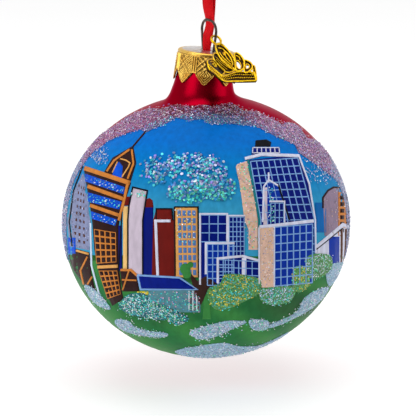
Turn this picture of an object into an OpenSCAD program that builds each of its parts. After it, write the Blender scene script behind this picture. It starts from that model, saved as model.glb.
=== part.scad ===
// Glass ball ornament with a painted front, a stamped cap, a wire hanger, a tiara charm and a ribbon.
// Lengths are in millimetres, +Z is up and the painted front faces -Y.
// The origin is inside the top of the ribbon loop, where a hook holds the ornament.

/* [Ball] */
// Width of the ball at its widest
ball_w = 82.5; // [80:0.5:86]
// Height of the ball above its widest level
ball_up = 36.9; // [36:0.1:38]
// Depth of the ball below its widest level
ball_down = 38.7; // [37:0.1:41]
// Thickness of the blown glass
glass_t = 0.9; // [0.7:0.1:1.2]
// Thickness of the red lacquer
coat_t = 0.1; // [0.05:0.05:0.2]
// Thickness of the painted picture
paint_t = 0.1; // [0.05:0.05:0.2]
// Thickness of the glitter
glitter_t = 0.3; // [0.2:0.1:0.5]
// Lean of the ball, top to the left
ball_lean = 1.2; // [0:0.1:2]

/* [Neck and cap] */
// Lean of the neck and the cap, top to the right
neck_lean = 5; // [3:0.5:6]
// Outer radius of the glass neck at its top
neck_r = 7.3; // [7.2:0.1:7.4]
// Outer radius of the cap at its top edge
cap_r = 8.2; // [8.1:0.1:8.4]
// Thickness of the cap's sheet metal
cap_t = 0.38; // [0.3:0.02:0.4]
// Number of points round the cap's lower edge
cap_points = 8; // [6:1:12]
// Radius of the hole for the ribbon
ribbon_hole_r = 1.6; // [1.5:0.1:1.8]

/* [Wire hanger] */
// Diameter of the spring wire
wire_d = 0.75; // [0.6:0.05:0.8]
// Height of the loop above the cap
loop_h = 9; // [8.5:0.1:10]
// Widest half width of the loop, to the middle of the wire
loop_half_w = 3.7; // [3.5:0.1:4]
// Half the distance between the legs where they enter the cap
leg_half_gap = 2.75; // [2.6:0.05:2.9]
// Turn of the loop about the neck
loop_turn = 57; // [50:1:60]
// Forward lean of the loop
loop_lean = 6; // [4:1:7]
// Sideways lean of the loop, top to the right
loop_tilt = 2.2; // [1.5:0.1:2.5]
// Distance of the loop to the right of the cap's middle
loop_shift = 0.45; // [0.3:0.05:0.5]

/* [Charm] */
// Height of the charm from its eyelet to its base
charm_h = 18.2; // [17.6:0.1:19]
// Half the straight width of the charm
charm_half_w = 8.4; // [8.4:0.1:8.8]
// Thickness of the cast plate
charm_t = 1; // [0.8:0.1:1]
// Radius that the plate is bent to
charm_bend_r = 14.5; // [13:0.5:17]
// Slope of the charm below the level, as it leans on the cap
charm_slope = 32; // [26:1:33]

/* [Ribbon] */
// Width of the satin ribbon
ribbon_w = 3; // [2.8:0.1:3]
// Thickness of the ribbon
ribbon_t = 0.5; // [0.4:0.05:0.5]
// Height of the hook above the middle of the ball
hang_z = 102; // [102]

/* [Hidden] */
$fn = 48;

ball_r = ball_w / 2 - coat_t;
ring_step = 7.5;        // degrees between the rings of the ball's outline
shoulder_angle = 72;             // where the ball's curve gives way to the shoulder
neck_z = 38.5;                   // height at which the neck starts to lean
view_tilt = 12;                  // the picture is laid out as seen from a little above

cap_top = 11.6;                  // heights in the neck's own frame
cap_valley = 5.8;
cap_tip = 2.5;
cap_tip_r = 9.1;
cap_edge_round = 0.7;
neck_top = 11.1;

wire_r = wire_d / 2;
bend_r = wire_r + 0.02;          // ball that rounds each bend of the wire
shoulder_r = 2.9;                // radius of the loop's two shoulders
shoulder_x = loop_half_w - shoulder_r;
shoulder_z = loop_h - wire_r - shoulder_r;
leg_reach = norm([leg_half_gap - shoulder_x, shoulder_z]);
leg_tilt = atan2(shoulder_z, leg_half_gap - shoulder_x) - acos(shoulder_r / leg_reach);
leg_len = sqrt(pow(leg_reach, 2) - pow(shoulder_r, 2));
leg_drop = 4.6;                  // straight length of a leg below the top of the cap
foot_x = 5.7;
foot_z = -9.6;

eyelet_r = 1.95;
eyelet_hole_r = 1.4;
eyelet_t = 0.6;
eyelet_up = 4.1;                 // height of the eyelet on the wire's leg, above the cap
eyelet_hang = 0.4;               // from the wire to the middle of the eyelet
charm_heading = 15;              // turn of the charm about the vertical
charm_roll = -22;                // tip of the charm to its right

knot_r = 1.45;
knot_half_len = 1.2;
knot_z = 9.4;

// Frames

module from_hook() translate([0, 0, -hang_z]) children();
module ball_frame() from_hook() rotate([0, -ball_lean, 0]) children();
module neck_frame() ball_frame() translate([0, 0, neck_z]) rotate([0, ball_lean + neck_lean, 0]) children();
module loop_frame() {
    neck_frame() translate([loop_shift, 0, cap_top]) rotate([0, loop_tilt, 0])
    rotate([loop_lean, 0, -loop_turn]) children();
}

// Turns the axes so that X runs across the charm, Y up to its eyelet and Z out of its face
module charm_frame() {
    loop_frame() translate([leg_half_gap + eyelet_up * tan(leg_tilt), 0, eyelet_up])
    rotate([-loop_lean, 0, 0]) rotate([0, 0, loop_turn]) rotate([0, -neck_lean - loop_tilt, 0])
    rotate([0, 0, charm_heading]) rotate([charm_slope, 0, 0]) rotate([0, -charm_roll, 0])
    translate([0, -eyelet_hang, 0]) children();
}

// Ball

// The ball's outline grown by t, from the shoulder down to the bottom
function ball_outline(t) = concat(
    [for (a = [shoulder_angle : -ring_step : 0]) [(ball_r + t) * cos(a), (ball_up + t) * sin(a)]],
    [for (a = [0 : -ring_step : -89]) [(ball_r + t) * cos(a), (ball_down + t) * sin(a)]],
    [[0, -ball_down - t]]
);

// The shoulder's outline grown by t, from the foot of the neck down to the ball
function shoulder_outline(t) = [[9.1 + t, neck_z], [9.9 + t, neck_z - 1.9], [11.2 + t, neck_z - 2.7]];

// The whole ball and neck as one solid, grown by t, with its neck made longer by rise
module ball_solid(t, rise = 0) {
    rotate_extrude() polygon(concat([[0, neck_z]], shoulder_outline(t), ball_outline(t)));
    translate([0, 0, neck_z]) rotate([0, ball_lean + neck_lean, 0]) neck_solid(t, rise);
}

// The neck narrows towards its top, and its foot is sunk into the shoulder
module neck_solid(t, rise) {
    rotate_extrude() polygon([
        [0, -3], [9.35 + t, -3], [8.1 + t, 3.6], [neck_r + 0.35 + t, 6.2],
        [neck_r + t, neck_top + rise], [0, neck_top + rise]
    ]);
}

module glass_ball() {
    color("gainsboro") ball_frame() difference() {
        ball_solid(0);
        ball_solid(-glass_t, 1);
    }
}

module red_coat() {
    color("firebrick") ball_frame() difference() {
        ball_solid(coat_t);
        ball_solid(0);
        translate([0, 0, neck_z]) rotate([0, ball_lean + neck_lean, 0])
            translate([0, 0, neck_top - 1.5]) cylinder(r = 2 * neck_r, h = 3);
    }
}

// A shell over the front of the ball, cut to the 2D shape that is drawn on the picture's plane
module on_front(low, high) {
    ball_frame() intersection() {
        rotate_extrude() polygon(concat(ball_outline(high), [for (i = [len(ball_outline(low)) - 1 : -1 : 0])
            ball_outline(low)[i]]));
        rotate([90 - view_tilt, 0, 0]) linear_extrude(ball_w) children();
    }
}

// Picture, drawn flat with X to the right and Y up

module picture_shape() {
    polygon([
        [-36, -12], [-35, 8], [-29, 18], [-20, 25], [-8, 27.5], [8, 27.5], [20, 25], [28, 19], [34, 8], [36, -12]
    ]);
}

module frame_shape() {
    difference() {
        polygon([
            [-38.5, -12], [-38, 8], [-33, 20], [-24, 28], [-10, 32.5], [2, 33], [16, 31], [27, 25], [34.5, 16],
            [38, 8], [38.5, -12]
        ]);
        picture_shape();
    }
}

// Each block is its left edge, right edge and top
blocks = [
    [-33, -22.5, 13.5], [-22.4, -17.3, 8], [-17.2, -9.2, 4], [-9.1, -2.3, 4], [-2.2, 10.3, 2.2],
    [10.4, 30, 18.5], [30.1, 34.5, 8]
];
block_foot = -17;

module block_shapes() {
    for (b = blocks) translate([b[0], block_foot]) square([b[1] - b[0], b[2] - block_foot]);
    translate([-28, 13]) square([6, 8]);
    translate([13, 18]) square([7, 3]);
}

module painted_sky() {
    color("steelblue") on_front(coat_t, coat_t + paint_t) difference() {
        picture_shape();
        block_shapes();
        translate([-60, -60]) square([120, 60 + block_foot]);
    }
}

module painted_buildings() {
    color("sienna") on_front(coat_t, coat_t + paint_t) difference() {
        block_shapes();
        frame_shape();
    }
}

module painted_ground() {
    color("darkgreen") on_front(coat_t, coat_t + paint_t) polygon([
        [-34, block_foot - 0.1], [-27, -26], [-14, -32], [0, -34], [14, -32], [27, -26], [34, block_foot - 0.1]
    ]);
}

module glitter_border() {
    color("plum") on_front(coat_t, coat_t + glitter_t) frame_shape();
}

// Each puff is its middle and its radius
module puffs(places) {
    for (p = places) translate([p[0], p[1]]) circle(r = p[2]);
}

module glitter_clouds() {
    color("lightcyan") on_front(coat_t + paint_t, coat_t + paint_t + glitter_t)
        puffs([[-14, 16, 3.5], [-8, 16.5, 3.5], [-5, 10, 3], [1, 11, 3.4], [6, 11.5, 3], [29, 12, 1.6]]);
}

module glitter_bushes() {
    color("seagreen") on_front(coat_t + paint_t, coat_t + paint_t + glitter_t)
        puffs([[-20, -24, 4], [-12, -23.5, 4], [4, -20.5, 4], [12, -20, 4.5], [21, -19, 5], [28, -16, 4]]);
}

module snow_drifts() {
    color("white") on_front(coat_t + paint_t, coat_t + paint_t + glitter_t) {
        polygon([[-24, -29], [-15, -28.2], [-14, -31], [-20, -30]]);
        polygon([[-4, -31.5], [6, -30.5], [16, -28], [25, -24], [24, -27], [10, -32.2]]);
        polygon([[-33.5, -18], [-28, -20], [-28, -22], [-31, -21]]);
    }
}

// Cap

module cap() {
    color("darkgoldenrod") neck_frame() difference() {
        rotate_extrude() polygon([
            [0, cap_top], [cap_r - cap_edge_round, cap_top], [cap_r - 0.2, cap_top - 0.2],
            [cap_r, cap_top - cap_edge_round], [cap_tip_r, cap_tip],
            [cap_tip_r - cap_t, cap_tip], [cap_r - cap_t, cap_top - cap_edge_round],
            [cap_r - cap_edge_round, cap_top - cap_t], [0, cap_top - cap_t]
        ]);
        for (i = [0 : cap_points - 1]) rotate([0, 0, (i + 0.5) * 360 / cap_points]) scallop_gap();
        cylinder(r = ribbon_hole_r, h = 2 * cap_top);
        translate([loop_shift, 0, 0]) rotate([0, 0, -loop_turn]) for (side = [-1, 1])
            translate([side * leg_half_gap, 0, 0]) cylinder(r = wire_r + 0.2, h = 2 * cap_top);
    }
}

// The gap between two points of the cap's lower edge, cut outwards along X
module scallop_gap() {
    half = cap_tip_r * sin(180 / cap_points) - 0.4;
    rotate([90, 0, 90]) linear_extrude(2 * cap_tip_r)
        polygon([[-half, cap_tip - 1], [-half, cap_tip], [-0.5, cap_valley], [0.5, cap_valley], [half, cap_tip],
            [half, cap_tip - 1]]);
}

// Wire hanger

module rod(from, to) {
    way = to - from;
    translate(from) rotate([0, acos(way[2] / norm(way)), atan2(way[1], way[0])])
        cylinder(r = wire_r, h = norm(way));
}

// The right half of the wire, from the end of the straight top down to the foot
module wire_side() {
    top_end = [shoulder_x, 0, loop_h - wire_r];
    shoulder_end = [leg_half_gap + leg_len * sin(leg_tilt), 0, leg_len * cos(leg_tilt)];
    entry = [leg_half_gap, 0, 0];
    knee = [leg_half_gap, 0, -leg_drop];
    foot = [foot_x, 0, foot_z];
    translate([shoulder_x, 0, shoulder_z]) rotate([90, 0, 0]) rotate([0, 0, -leg_tilt])
        rotate_extrude(angle = 90 + leg_tilt) translate([shoulder_r, 0]) circle(r = wire_r);
    rod(entry, shoulder_end);
    rod(knee, entry);
    rod(knee, foot);
    for (bend = [top_end, shoulder_end, entry, knee, foot]) translate(bend) sphere(r = bend_r);
}

module wire_hanger() {
    color("dimgray") loop_frame() {
        rod([-shoulder_x, 0, loop_h - wire_r], [shoulder_x, 0, loop_h - wire_r]);
        wire_side();
        mirror([1, 0, 0]) wire_side();
    }
}

// Charm

function oval(w, h) = [for (a = [0 : 20 : 340]) [w * cos(a), h * sin(a)]];

module oval_ring(w, h, wall) {
    difference() {
        polygon(oval(w, h));
        polygon(oval(w - wall, h - wall));
    }
}

// Drawn with its base at y = 0 and its eyelet at y = charm_h
module tiara_shape() {
    petal_half_h = (charm_h - 3.5) / 2;
    translate([-charm_half_w, 0]) square([2 * charm_half_w, 2.4]);
    translate([0, charm_h - 1.6 - petal_half_h]) oval_ring(2.6, petal_half_h, 0.8);
    translate([-0.35, 2]) square([0.7, 10]);
    for (side = [-1, 1]) scale([side, 1]) {
        translate([3.9, 5.3]) rotate(18) oval_ring(1.9, 3.8, 0.7);
        translate([6.4, 3.9]) rotate(30) oval_ring(1.4, 2.6, 0.6);
        polygon([[7.4, 2.3], [charm_half_w, 2.3], [8.3, 5.1], [7.9, 5.1]]);
    }
}

module charm() {
    color("goldenrod") charm_frame() {
        intersection() {
            translate([0, 0, -charm_t]) linear_extrude(charm_bend_r) difference() {
                translate([0, -charm_h]) tiara_shape();
                circle(r = eyelet_hole_r + 0.2);
            }
            translate([0, -charm_h - 1, charm_bend_r]) rotate([-90, 0, 0]) difference() {
                cylinder(r = charm_bend_r + charm_t / 2, h = charm_h);
                translate([0, 0, -1]) cylinder(r = charm_bend_r - charm_t / 2, h = charm_h + 2);
            }
        }
        translate([0, 0, -eyelet_t / 2]) difference() {
            cylinder(r = eyelet_r, h = eyelet_t);
            translate([0, 0, -1]) cylinder(r = eyelet_hole_r, h = eyelet_t + 2);
        }
    }
}

// Ribbon

// Each row is x, y and z from the middle of the ball, the turn of the ribbon's width from X, and the width
front_tail = [
    [0.2, -0.5, 48.4, 0, 2.2], [0.2, -0.5, 50.4, -6, 2.2], [0.4, -0.3, 52, -16, 2.2], [0.7, 0.1, 54.5, -32, 2.3],
    [1.2, 0.8, 57, -42, 2.4], [1.3, 1.5, 59, -44, 2.5], [1.1, 2.5, 62, -36, 2.8]
];
back_tail = [
    [0.2, 0.5, 48.4, 0, 2.2], [0.2, 0.5, 50.4, -6, 2.2], [0.5, 0.6, 52, -16, 2.2], [0.9, 1, 54.5, -32, 2.3],
    [1.5, 1.5, 57, -42, 2.4], [1.6, 2.2, 59, -44, 2.5], [1.5, 3.2, 62, -36, 2.8]
];
front_strand = [
    [1.1, 2.5, 62.4, -36, 2.8], [0.6, 2.4, 66, -14, 3], [0.1, 1.4, 72, 0, 3], [0, -0.4, 80, 0, 3],
    [0, -1.8, 88, 0, 3], [0, -2.6, 93.6, 0, 3]
];
back_strand = [
    [1.5, 3.2, 62.4, -36, 2.8], [1.3, 3.5, 66, -14, 3], [0.8, 2.9, 72, 0, 3], [0.4, 2.5, 80, 0, 3],
    [0.1, 2.6, 88, 0, 3], [0, 2.8, 93.6, 0, 3]
];
bight_r = 3;                     // radius of the fold over the hook, to the middle of the ribbon

// Direction of the route at point i
function heading(route, i) = let (
    a = route[max(i - 1, 0)], b = route[min(i + 1, len(route) - 1)], d = [b[0] - a[0], b[1] - a[1], b[2] - a[2]]
) d / norm(d);

// The eight corners of the ribbon's section at point i
function section(route, i) = let (
    p = route[i], d = heading(route, i), side = [cos(p[3]), sin(p[3]), 0],
    across = (side - (side * d) * d) / norm(side - (side * d) * d), out = cross(d, across)
) [for (k = [0 : 7]) [p[0], p[1], p[2]]
    + across * (p[4] / 2) * cos(45 * k + 22.5) / cos(22.5) + out * (ribbon_t / 2) * sin(45 * k + 22.5) / cos(22.5)];

module ribbon_tube(route) {
    n = len(route);
    polyhedron(
        points = [for (i = [0 : n - 1]) each section(route, i)],
        faces = concat(
            [[for (k = [0 : 7]) k]],
            [for (i = [0 : n - 2], k = [0 : 7]) [8 * i + k, 8 * (i + 1) + k, 8 * i + (k + 1) % 8]],
            [for (i = [0 : n - 2], k = [0 : 7]) [8 * (i + 1) + k, 8 * (i + 1) + (k + 1) % 8, 8 * i + (k + 1) % 8]],
            [[for (k = [7 : -1 : 0]) 8 * (n - 1) + k]]
        )
    );
}

// The fold runs up the front, over the hook and down the back
bight_rise = [[0, -2.7, -8, 0, ribbon_w], [0, -2.9, -4, 0, ribbon_w]];
bight_fall = [[0, 2.9, -4, 0, ribbon_w], [0, 2.8, -8, 0, ribbon_w]];
bight_arc = [for (a = [180 : -20 : 0]) [0, bight_r * cos(a), bight_r * sin(a), 0, ribbon_w]];

module ribbon_bight() {
    color("crimson") ribbon_tube(concat(bight_rise, bight_arc, bight_fall));
}

module ribbon_strands() {
    color("crimson") from_hook() {
        ribbon_tube(front_strand);
        ribbon_tube(back_strand);
    }
}

module ribbon_tails() {
    color("crimson") from_hook() {
        ribbon_tube(front_tail);
        ribbon_tube(back_tail);
    }
}

module stopper_knot() {
    color("crimson") neck_frame() translate([-knot_half_len, 0, knot_z]) {
        sphere(r = knot_r);
        rotate([0, 90, 0]) cylinder(r = knot_r, h = 2 * knot_half_len);
        translate([2 * knot_half_len, 0, 0]) sphere(r = knot_r);
    }
}

ribbon_bight();
ribbon_strands();
ribbon_tails();
stopper_knot();
cap();
wire_hanger();
charm();
glass_ball();
red_coat();
painted_sky();
painted_buildings();
painted_ground();
glitter_border();
glitter_clouds();
glitter_bushes();
snow_drifts();
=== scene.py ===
import math
import random

import bmesh
import bpy
from mathutils import Matrix, Vector


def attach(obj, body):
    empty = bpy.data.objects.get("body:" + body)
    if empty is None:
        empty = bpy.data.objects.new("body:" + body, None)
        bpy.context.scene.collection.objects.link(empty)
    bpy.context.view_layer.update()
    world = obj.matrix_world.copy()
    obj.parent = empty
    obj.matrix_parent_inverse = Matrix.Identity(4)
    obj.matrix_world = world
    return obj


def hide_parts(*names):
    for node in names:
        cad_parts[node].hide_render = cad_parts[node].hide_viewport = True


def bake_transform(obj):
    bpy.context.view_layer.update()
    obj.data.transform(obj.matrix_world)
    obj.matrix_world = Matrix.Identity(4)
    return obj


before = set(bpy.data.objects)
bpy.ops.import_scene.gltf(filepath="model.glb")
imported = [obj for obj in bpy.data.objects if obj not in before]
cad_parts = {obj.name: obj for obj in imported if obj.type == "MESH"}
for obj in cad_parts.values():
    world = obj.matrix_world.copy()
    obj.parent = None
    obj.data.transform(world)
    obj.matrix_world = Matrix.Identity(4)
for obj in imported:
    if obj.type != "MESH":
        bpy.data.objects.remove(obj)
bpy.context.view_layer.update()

random.seed(24)
pi = math.pi


def turn(degrees, axis):
    return Matrix.Rotation(math.radians(degrees), 4, axis)


def shift(x, y, z):
    return Matrix.Translation((x, y, z))


# Everything is shaped in millimetres and brought to metres by its frame
ball = {
    "across": 41.25,      # radius at the widest level
    "up": 37.0,           # height above that level
    "down": 38.8,         # depth below it
    "lean": 1.2,          # top to the left
    "middle": -102,       # height of the middle below the hook
}
neck = {"foot": 38.5, "lean": 5, "height": 11.6}
wire = {
    "across": 0.45,       # its place from the cap's middle
    "tilt": 2.2, "turn": 57, "lean": 6, "halfGap": 2.75, "legLean": 9.84,
    "eyelet": 4.1,        # height of the charm's eyelet above the cap
    "hole": 0.575,        # radius of the holes that its legs go through
}
hookFrame = Matrix.Scale(0.001, 4)
plainFrame = hookFrame @ shift(0, 0, ball["middle"])      # upright, from the ball's middle
ballFrame = plainFrame @ turn(-ball["lean"], "Y")
neckFrame = ballFrame @ shift(0, 0, neck["foot"]) @ turn(ball["lean"] + neck["lean"], "Y")
loopFrame = (neckFrame @ shift(wire["across"], 0, neck["height"]) @ turn(wire["tilt"], "Y")
             @ turn(-wire["turn"], "Z") @ turn(wire["lean"], "X"))

# The camera looks down at the ball from the front

camera = {"distance": 600, "tilt": 12, "aimAcross": 0.58, "aimUp": 4.05, "lens": 179.5}
sightUp = Vector((0, math.sin(math.radians(camera["tilt"])), math.cos(math.radians(camera["tilt"]))))
sightWay = Vector((0, math.cos(math.radians(camera["tilt"])), -math.sin(math.radians(camera["tilt"]))))

# Where the eye is, from the ball's middle
eyePlace = Vector((camera["aimAcross"], 0, 0)) + camera["aimUp"] * sightUp - camera["distance"] * sightWay


def setCamera():
    aim = Vector((camera["aimAcross"], 0, ball["middle"])) + camera["aimUp"] * sightUp
    bpy.context.scene.view_settings.view_transform = "Standard"
    data = bpy.data.cameras.new("camera")
    data.lens = camera["lens"]
    data.sensor_width = 36
    data.clip_start = 0.01
    holder = bpy.data.objects.new("camera", data)
    holder.location = (aim - camera["distance"] * sightWay) * 0.001
    holder.rotation_euler = (math.radians(90 - camera["tilt"]), 0, 0)
    bpy.context.scene.collection.objects.link(holder)
    bpy.context.scene.camera = holder


setCamera()
print("camera set")

# Materials


def linear(rgb):
    return tuple((c / 255 / 12.92 if c < 11 else ((c / 255 + 0.055) / 1.055) ** 2.4) for c in rgb) + (1.0,)


def startMaterial(name, finish):
    material = bpy.data.materials.new(name)
    material.use_nodes = True
    tree = material.node_tree
    shader = tree.nodes["Principled BSDF"]
    for socket, value in finish.items():
        shader.inputs[socket].default_value = value
    place = tree.nodes.new("ShaderNodeTexCoord").outputs["Object"]
    return material, tree, shader, place


def addNoise(tree, place, scale, detail=3.0, stretch=(1, 1, 1)):
    mapping = tree.nodes.new("ShaderNodeMapping")
    mapping.inputs["Scale"].default_value = stretch
    noise = tree.nodes.new("ShaderNodeTexNoise")
    noise.inputs["Scale"].default_value = scale
    noise.inputs["Detail"].default_value = detail
    tree.links.new(place, mapping.inputs["Vector"])
    tree.links.new(mapping.outputs["Vector"], noise.inputs["Vector"])
    return noise.outputs["Fac"]


def addRamp(tree, source, stops):
    ramp = tree.nodes.new("ShaderNodeValToRGB")
    for element, (at, colour) in zip(ramp.color_ramp.elements, stops):
        element.position = at
        element.color = linear(colour)
    tree.links.new(source, ramp.inputs["Fac"])
    return ramp.outputs["Color"]


def addRange(tree, source, low, high):
    spread = tree.nodes.new("ShaderNodeMapRange")
    spread.inputs["From Min"].default_value = 0.3
    spread.inputs["From Max"].default_value = 0.7
    spread.inputs["To Min"].default_value = low
    spread.inputs["To Max"].default_value = high
    tree.links.new(source, spread.inputs["Value"])
    return spread.outputs["Result"]


def addTint(tree):
    tint = tree.nodes.new("ShaderNodeAttribute")
    tint.attribute_name = "Tint"
    return tint.outputs["Color"]


def addMultiply(tree, first, second):
    mix = tree.nodes.new("ShaderNodeMix")
    mix.data_type = "RGBA"
    mix.blend_type = "MULTIPLY"
    mix.inputs["Factor"].default_value = 1
    tree.links.new(first, mix.inputs["A"])
    tree.links.new(second, mix.inputs["B"])
    return mix.outputs["Result"]


def addBump(tree, shader, height, strength, depth):
    bump = tree.nodes.new("ShaderNodeBump")
    bump.inputs["Strength"].default_value = strength
    bump.inputs["Distance"].default_value = depth
    tree.links.new(height, bump.inputs["Height"])
    tree.links.new(bump.outputs["Normal"], shader.inputs["Normal"])


def makeLacquer():
    finish = {"Metallic": 1, "Roughness": 0.3, "Specular Tint": linear((255, 175, 190))}
    material, tree, shader, place = startMaterial("redLacquer", finish)
    cloudy = addNoise(tree, place, 60)
    colour = addRamp(tree, cloudy, [(0.3, (156, 0, 27)), (0.75, (142, 0, 23))])
    tree.links.new(colour, shader.inputs["Base Color"])
    tree.links.new(addRange(tree, addNoise(tree, place, 140), 0.27, 0.35), shader.inputs["Roughness"])
    addBump(tree, shader, addNoise(tree, place, 900), 0.12, 0.0002)
    return material


def makeGlass():
    finish = {"Transmission Weight": 1, "IOR": 1.5, "Base Color": linear((235, 240, 240))}
    material, tree, shader, place = startMaterial("clearGlass", finish)
    tree.links.new(addRange(tree, addNoise(tree, place, 120), 0.01, 0.05), shader.inputs["Roughness"])
    return material


def makePaint():
    material, tree, shader, place = startMaterial("picturePaint", {"Specular IOR Level": 0.03})
    brushed = addNoise(tree, place, 700, 4, (1, 1, 0.35))
    wash = addRamp(tree, brushed, [(0.25, (226, 226, 226)), (0.7, (255, 255, 255))])
    tree.links.new(addMultiply(tree, addTint(tree), wash), shader.inputs["Base Color"])
    tree.links.new(addRange(tree, brushed, 0.34, 0.5), shader.inputs["Roughness"])
    addBump(tree, shader, brushed, 0.25, 0.0001)
    return material


def makeGlitterBed():
    finish = {"Roughness": 0.5, "Specular IOR Level": 0.2}
    material, tree, shader, place = startMaterial("glitterGlue", finish)
    grain = addNoise(tree, place, 2600, 2)
    wash = addRamp(tree, grain, [(0.3, (150, 140, 160)), (0.7, (255, 255, 255))])
    tree.links.new(addMultiply(tree, addTint(tree), wash), shader.inputs["Base Color"])
    addBump(tree, shader, grain, 0.8, 0.0003)
    return material


def makeFlakes():
    finish = {"Metallic": 0.4, "Roughness": 0.35, "Coat Weight": 0.2, "Coat Roughness": 0.15}
    material, tree, shader, place = startMaterial("glitterFlakes", finish)
    shimmer = addNoise(tree, place, 3000, 1)
    wash = addRamp(tree, shimmer, [(0.3, (215, 215, 225)), (0.7, (255, 255, 255))])
    tree.links.new(addMultiply(tree, addTint(tree), wash), shader.inputs["Base Color"])
    return material


def makeMetal(name, light, dark, roughness, grain, bump, tinted=False):
    material, tree, shader, place = startMaterial(name, {"Metallic": 1})
    wear = addNoise(tree, place, grain, 5)
    colour = addRamp(tree, wear, [(0.3, dark), (0.6, light)])
    if tinted:
        colour = addMultiply(tree, addTint(tree), colour)
    tree.links.new(colour, shader.inputs["Base Color"])
    tree.links.new(addRange(tree, wear, roughness + 0.12, roughness), shader.inputs["Roughness"])
    addBump(tree, shader, addNoise(tree, place, 3 * grain, 3), bump, 0.0001)
    return material


def makeSatin():
    finish = {"Roughness": 0.45, "Anisotropic": 0.4, "Sheen Weight": 0.02, "Sheen Roughness": 0.35,
              "Sheen Tint": linear((255, 90, 90)), "Specular IOR Level": 0.1}
    material, tree, shader, place = startMaterial("redSatin", finish)
    weave = tree.nodes.new("ShaderNodeTexWave")
    weave.bands_direction = "Y"
    weave.inputs["Scale"].default_value = 1.1
    weave.inputs["Distortion"].default_value = 0.6
    along = tree.nodes.new("ShaderNodeUVMap")
    along.uv_map = "ribbonLength"
    tree.links.new(along.outputs["UV"], weave.inputs["Vector"])
    streaks = addNoise(tree, place, 420, 3, (3, 3, 0.3))
    colour = addRamp(tree, streaks, [(0.3, (200, 4, 16)), (0.65, (244, 14, 28))])
    thread = addRamp(tree, weave.outputs["Fac"], [(0.0, (225, 215, 215)), (1.0, (255, 255, 255))])
    tree.links.new(addMultiply(tree, colour, thread), shader.inputs["Base Color"])
    addBump(tree, shader, weave.outputs["Fac"], 0.3, 0.00012)
    return material


def makeFloorPaper():
    finish = {"Roughness": 0.9, "Specular IOR Level": 0.1, "Emission Color": (1, 1, 1, 1),
              "Emission Strength": 0.6}
    material, tree, shader, place = startMaterial("paleFloor", finish)
    fibre = addNoise(tree, place, 3)
    colour = addRamp(tree, fibre, [(0.3, (190, 190, 190)), (0.7, (194, 194, 194))])
    tree.links.new(colour, shader.inputs["Base Color"])
    return material


lacquer = makeLacquer()
clearGlass = makeGlass()
paint = makePaint()
glitterBed = makeGlitterBed()
flakeFoil = makeFlakes()
capGold = makeMetal("stampedGold", (250, 206, 100), (216, 162, 66), 0.26, 260, 0.15, True)
charmGold = makeMetal("castGold", (250, 208, 34), (214, 160, 12), 0.26, 900, 0.4)
charmRecess = makeMetal("blackenedRecess", (70, 44, 16), (26, 16, 8), 0.45, 900, 0.4)
wireSteel = makeMetal("bronzedWire", (96, 84, 78), (46, 38, 34), 0.22, 900, 0.2)
satin = makeSatin()
print("materials made")


def makePiece(name, bm, place, material, body, replaced=(), smooth=True, parent=True):
    bmesh.ops.transform(bm, matrix=place, verts=bm.verts)
    mesh = bpy.data.meshes.new(name)
    bm.to_mesh(mesh)
    bm.free()
    if smooth:
        mesh.shade_smooth()
    piece = bpy.data.objects.new(name, mesh)
    bpy.context.scene.collection.objects.link(piece)
    mesh.materials.append(material)
    if parent:
        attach(piece, body)
    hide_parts(*replaced)
    return piece


def applyModifiers(piece):
    graph = bpy.context.evaluated_depsgraph_get()
    done = bpy.data.meshes.new_from_object(piece.evaluated_get(graph))
    piece.modifiers.clear()
    piece.data = done


def ropeMesh(bm, ropes, sides):
    # Each rope is its points, its radius and whether it is closed
    curve = bpy.data.curves.new("rope", "CURVE")
    curve.dimensions = "3D"
    curve.bevel_depth = 1
    curve.bevel_resolution = sides
    curve.use_fill_caps = True
    for points, radius, closed in ropes:
        spline = curve.splines.new("POLY")
        spline.points.add(len(points) - 1)
        for knot, point in zip(spline.points, points):
            knot.co = (*point, 1)
            knot.radius = radius
        spline.use_cyclic_u = closed
    holder = bpy.data.objects.new("rope", curve)
    bpy.context.scene.collection.objects.link(holder)
    graph = bpy.context.evaluated_depsgraph_get()
    mesh = bpy.data.meshes.new_from_object(holder.evaluated_get(graph))
    bm.from_mesh(mesh)
    bpy.data.objects.remove(holder)
    bpy.data.curves.remove(curve)
    bpy.data.meshes.remove(mesh)


# Ribbon: x, y and z from the ball's middle, the turn of its width from X, and the width

frontTail = [
    [0.2, -0.5, 48.4, 0, 2.2], [0.2, -0.5, 50.4, -6, 2.2], [0.3, -0.4, 52, -5, 2.5],
    [0.5, -0.1, 54.5, -15, 2.7], [1, 1.1, 57, -36, 3], [1, 1.9, 59, -34, 3.1]
]
backTail = [
    [0.2, 0.5, 48.4, 0, 2.2], [0.2, 0.5, 50.4, -6, 2.2], [0.4, 0.6, 52, -6, 2.5], [0.8, 0.8, 54.5, -20, 2.7],
    [1.3, 1.8, 57, -38, 3], [1.3, 2.6, 59, -34, 3.1]
]
frontStrand = [
    [0.5, 2.5, 62.4, -18, 3.1], [0.4, 2.4, 66, -8, 3.1], [0.1, 1.4, 72, 0, 3], [0, -0.4, 80, 0, 3],
    [0, -1.8, 88, 0, 3], [0, -2.6, 93.6, 0, 3], [0, -2.9, 98, 0, 3]
]
backStrand = [
    [1.3, 3.3, 62.4, -18, 3.1], [1.3, 3.5, 66, -10, 3.1], [0.8, 2.9, 72, 0, 3], [0.4, 2.5, 80, 0, 3],
    [0.1, 2.6, 88, 0, 3], [0, 2.8, 93.6, 0, 3], [0, 2.9, 98, 0, 3]
]
ribbon = {"foldRadius": 3, "thickness": 0.42, "cup": 0.16, "sides": 16, "steps": 5, "weaves": 2.2}


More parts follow.
